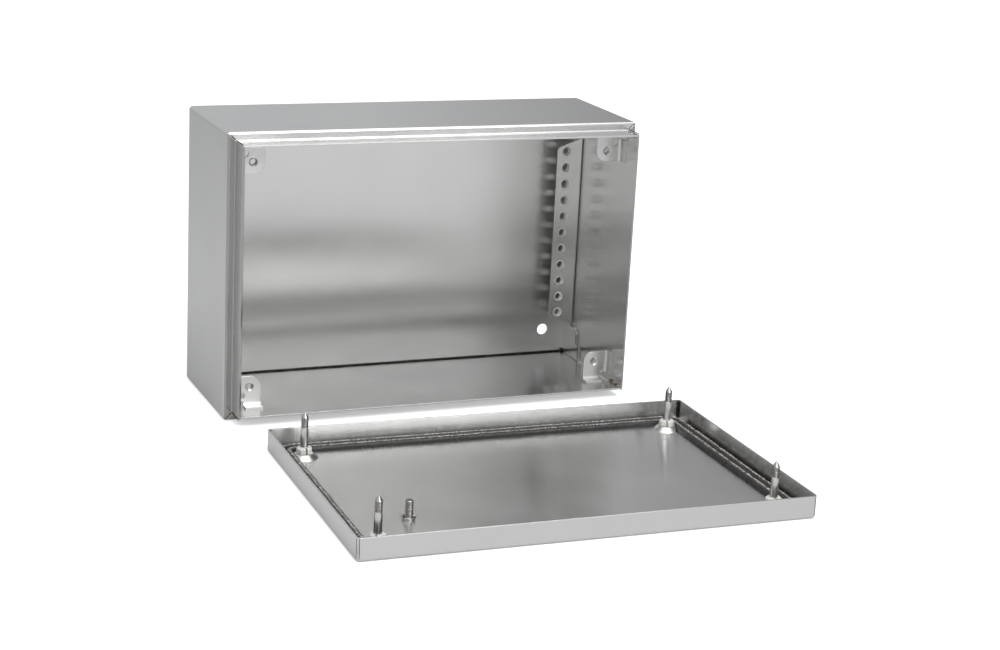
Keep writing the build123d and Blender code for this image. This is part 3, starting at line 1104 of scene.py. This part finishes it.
@dataclass
class Studio:
    """A plain white table and soft light, with a camera at the photograph's viewing angle."""

    # The camera's place and aim, worked out from the edges of the box and lid in the photograph
    place: Point = (-0.5215, -1.3806, 0.4629)
    azimuth: float = 23.319
    elevation: float = 15.700
    roll: float = 2.932
    lens_mm: float = 75.98
    sensor_mm: float = 36.0
    # Each soft box's name, its middle, the point it faces, its width and height, and its power in watts
    soft_boxes: tuple[tuple[str, Point, Point, Pair, float], ...] = (
        ("soft_box_over", (0.1, -0.3, 1.5), (0.0, -0.1, 0.0), (1.4, 1.4), 7.0),
        ("soft_box_front", (0.3, -1.4, 1.5), (0.0, -0.1, 0.1), (1.1, 0.9), 17.0))
    table_half: float = 6.0
    table_glow: float = 0.4
    mirrored_table: str = "#cccccc"
    # How bright the room is on each side, fitted by trial to the photograph's greys
    wall_light: float = 0.54
    ceiling_light: float = 0.72
    front_share: float = 0.95
    left_share: float = 1.5
    right_share: float = 1.38
    back_share: float = 0.72
    back_right_share: float = 0.42
    far_right_share: float = 0.35

    def build(self) -> None:
        """Sets up the camera, the table, the room's light and the lamps."""
        bpy.context.scene.view_settings.view_transform = "Standard"
        self.camera()
        self.table()
        self.room()
        for lamp in self.soft_boxes:
            self.soft_box(*lamp)

    def camera(self) -> None:
        """Places the camera, which is tipped a little to its side."""
        azimuth, elevation, roll = (math.radians(v) for v in (self.azimuth, self.elevation, self.roll))
        forward = Vector((math.cos(elevation) * math.sin(azimuth), math.cos(elevation) * math.cos(azimuth),
                          -math.sin(elevation)))
        level = Vector((math.cos(azimuth), -math.sin(azimuth), 0))
        above = level.cross(forward)
        right = level * math.cos(roll) + above * math.sin(roll)
        up = above * math.cos(roll) - level * math.sin(roll)
        data = bpy.data.cameras.new("camera")
        data.sensor_width, data.lens = self.sensor_mm, self.lens_mm
        data.clip_start, data.clip_end = 0.05, 50
        camera = linked("camera", data)
        turn = Matrix((right, up, -forward)).transposed().to_4x4()
        camera.matrix_world = Matrix.Translation(Vector(self.place)) @ turn
        bpy.context.scene.camera = camera

    def table_top(self, name: str, finish: str, colour: str, glow: float) -> Object:
        """Lays a plain flat sheet under the object, well past the camera's view.

        Args:
            name: The sheet's name.
            finish: Its material's name.
            colour: Its colour.
            glow: How much it shines by itself.

        Returns:
            The sheet, marked as part of the stage.
        """
        material, tree, place = empty_material(finish)
        stain = add(tree, "TexNoise", {"Scale": 1.5, "Detail": 2.0}, {"Vector": place})
        rough = add(tree, "MapRange", {"To Min": 0.85, "To Max": 0.95}, {"Value": stain.outputs["Fac"]})
        closed(tree, add(tree, "BsdfPrincipled", {
            "Base Color": linear(colour), "Specular IOR Level": 0.0, "Emission Color": linear("#ffffff"),
            "Emission Strength": glow}, {"Roughness": rough.outputs[0]}))
        corners = [(i * self.table_half, j * self.table_half, 0) for i, j in ((-1, -1), (1, -1), (1, 1), (-1, 1))]
        sheet = new_piece(name, corners, [(0, 1, 2, 3)], material)
        sheet.location.z = -0.2 * MM
        return sheet

    def table(self) -> None:
        """Lays a white table for the eye, and a plain grey one in its place for the metal to mirror."""
        white = self.table_top("table", "white_laminate", "#fcfcfc", self.table_glow)
        white.visible_diffuse = white.visible_glossy = white.visible_shadow = white.visible_transmission = False
        grey = self.table_top("table_in_mirror", "grey_laminate", self.mirrored_table, 0.0)
        grey.location.z -= 0.2 * MM
        grey.visible_camera = False

    def room(self) -> None:
        """Fills the room with soft light: brighter overhead and at the sides, dimmer at the back right."""
        world = bpy.data.worlds.new("room")
        bpy.context.scene.world = world
        world.use_nodes = True
        tree = world.node_tree
        tree.nodes.clear()
        look = add(tree, "SeparateXYZ", links={0: add(tree, "TexCoord").outputs["Generated"]})
        height, side, low, front, back, beside = (
            add(tree, "MapRange", {
                "interpolation_type": way, "From Min": start, "From Max": end, "To Min": first, "To Max": last,
            }, {"Value": look.outputs[axis]}).outputs[0]
            for axis, way, start, end, first, last in (
                (2, "LINEAR", 0.0, 1.0, self.wall_light, self.ceiling_light),
                (0, "SMOOTHSTEP", -0.35, 0.35, self.left_share, self.right_share),
                (2, "SMOOTHSTEP", 0.3, 0.6, self.front_share, 1.0),
                (1, "SMOOTHSTEP", -0.5, 0.2, 1.0, 0.0),
                (0, "LINEAR", 0.33, 0.47, self.back_share, self.back_right_share),
                (0, "SMOOTHSTEP", 0.5, 0.85, 1.0, self.far_right_share)))
        share = add(tree, "Mix", links={"Factor": front, 2: back, 3: low}).outputs[0]
        strength = height
        for factor in (side, share, beside):
            strength = add(tree, "Math", {"operation": "MULTIPLY"}, {0: strength, 1: factor}).outputs[0]
        light = add(tree, "Background", {"Color": linear("#fbfcff")}, {"Strength": strength})
        add(tree, "OutputWorld", links={"Surface": light.outputs[0]})

    def soft_box(self, name: str, place: Point, aim: Point, size: Pair, power: float) -> None:
        """Hangs a soft box.

        Args:
            name: The lamp's name.
            place: Its middle, in metres.
            aim: The point that it faces.
            size: Its width and height.
            power: Its power in watts.
        """
        data = bpy.data.lights.new(name, "AREA")
        data.shape, data.size, data.size_y, data.energy = "RECTANGLE", size[0], size[1], power
        lamp = linked(name, data)
        lamp.location = place
        lamp.rotation_euler = (Vector(place) - Vector(aim)).to_track_quat("Z", "Y").to_euler()


def main() -> None:
    """Builds the studio and every sub-assembly in order, and reports each piece."""
    logging.basicConfig(level=logging.INFO, format="%(name)s: %(message)s")
    Studio().build()
    turned = TurnedStainless().material("turned_stainless")
    # The thread's steel is darker: painted shade standing in for the shade in its grooves; it is also rougher
    rolled = TurnedStainless("#b9b6b3", 0.24, 0.3).material("thread_rolled_stainless")
    nylon = MouldedNylon().material("moulded_nylon")
    rubber = MouldedRubber().material("moulded_rubber")
    shown = Enclosure().build() + Lid().build()
    for corner in ("front_left", "front_right", "back_left", "back_right"):
        shown += CaptiveScrew(corner, turned, rolled, nylon, rubber).build()
    shown += EarthStud(turned, rolled).build()
    for piece in shown:
        LOG.info("%s, in %s", piece.name, piece.data.materials[0].name)


if __name__ == "__main__":
    main()
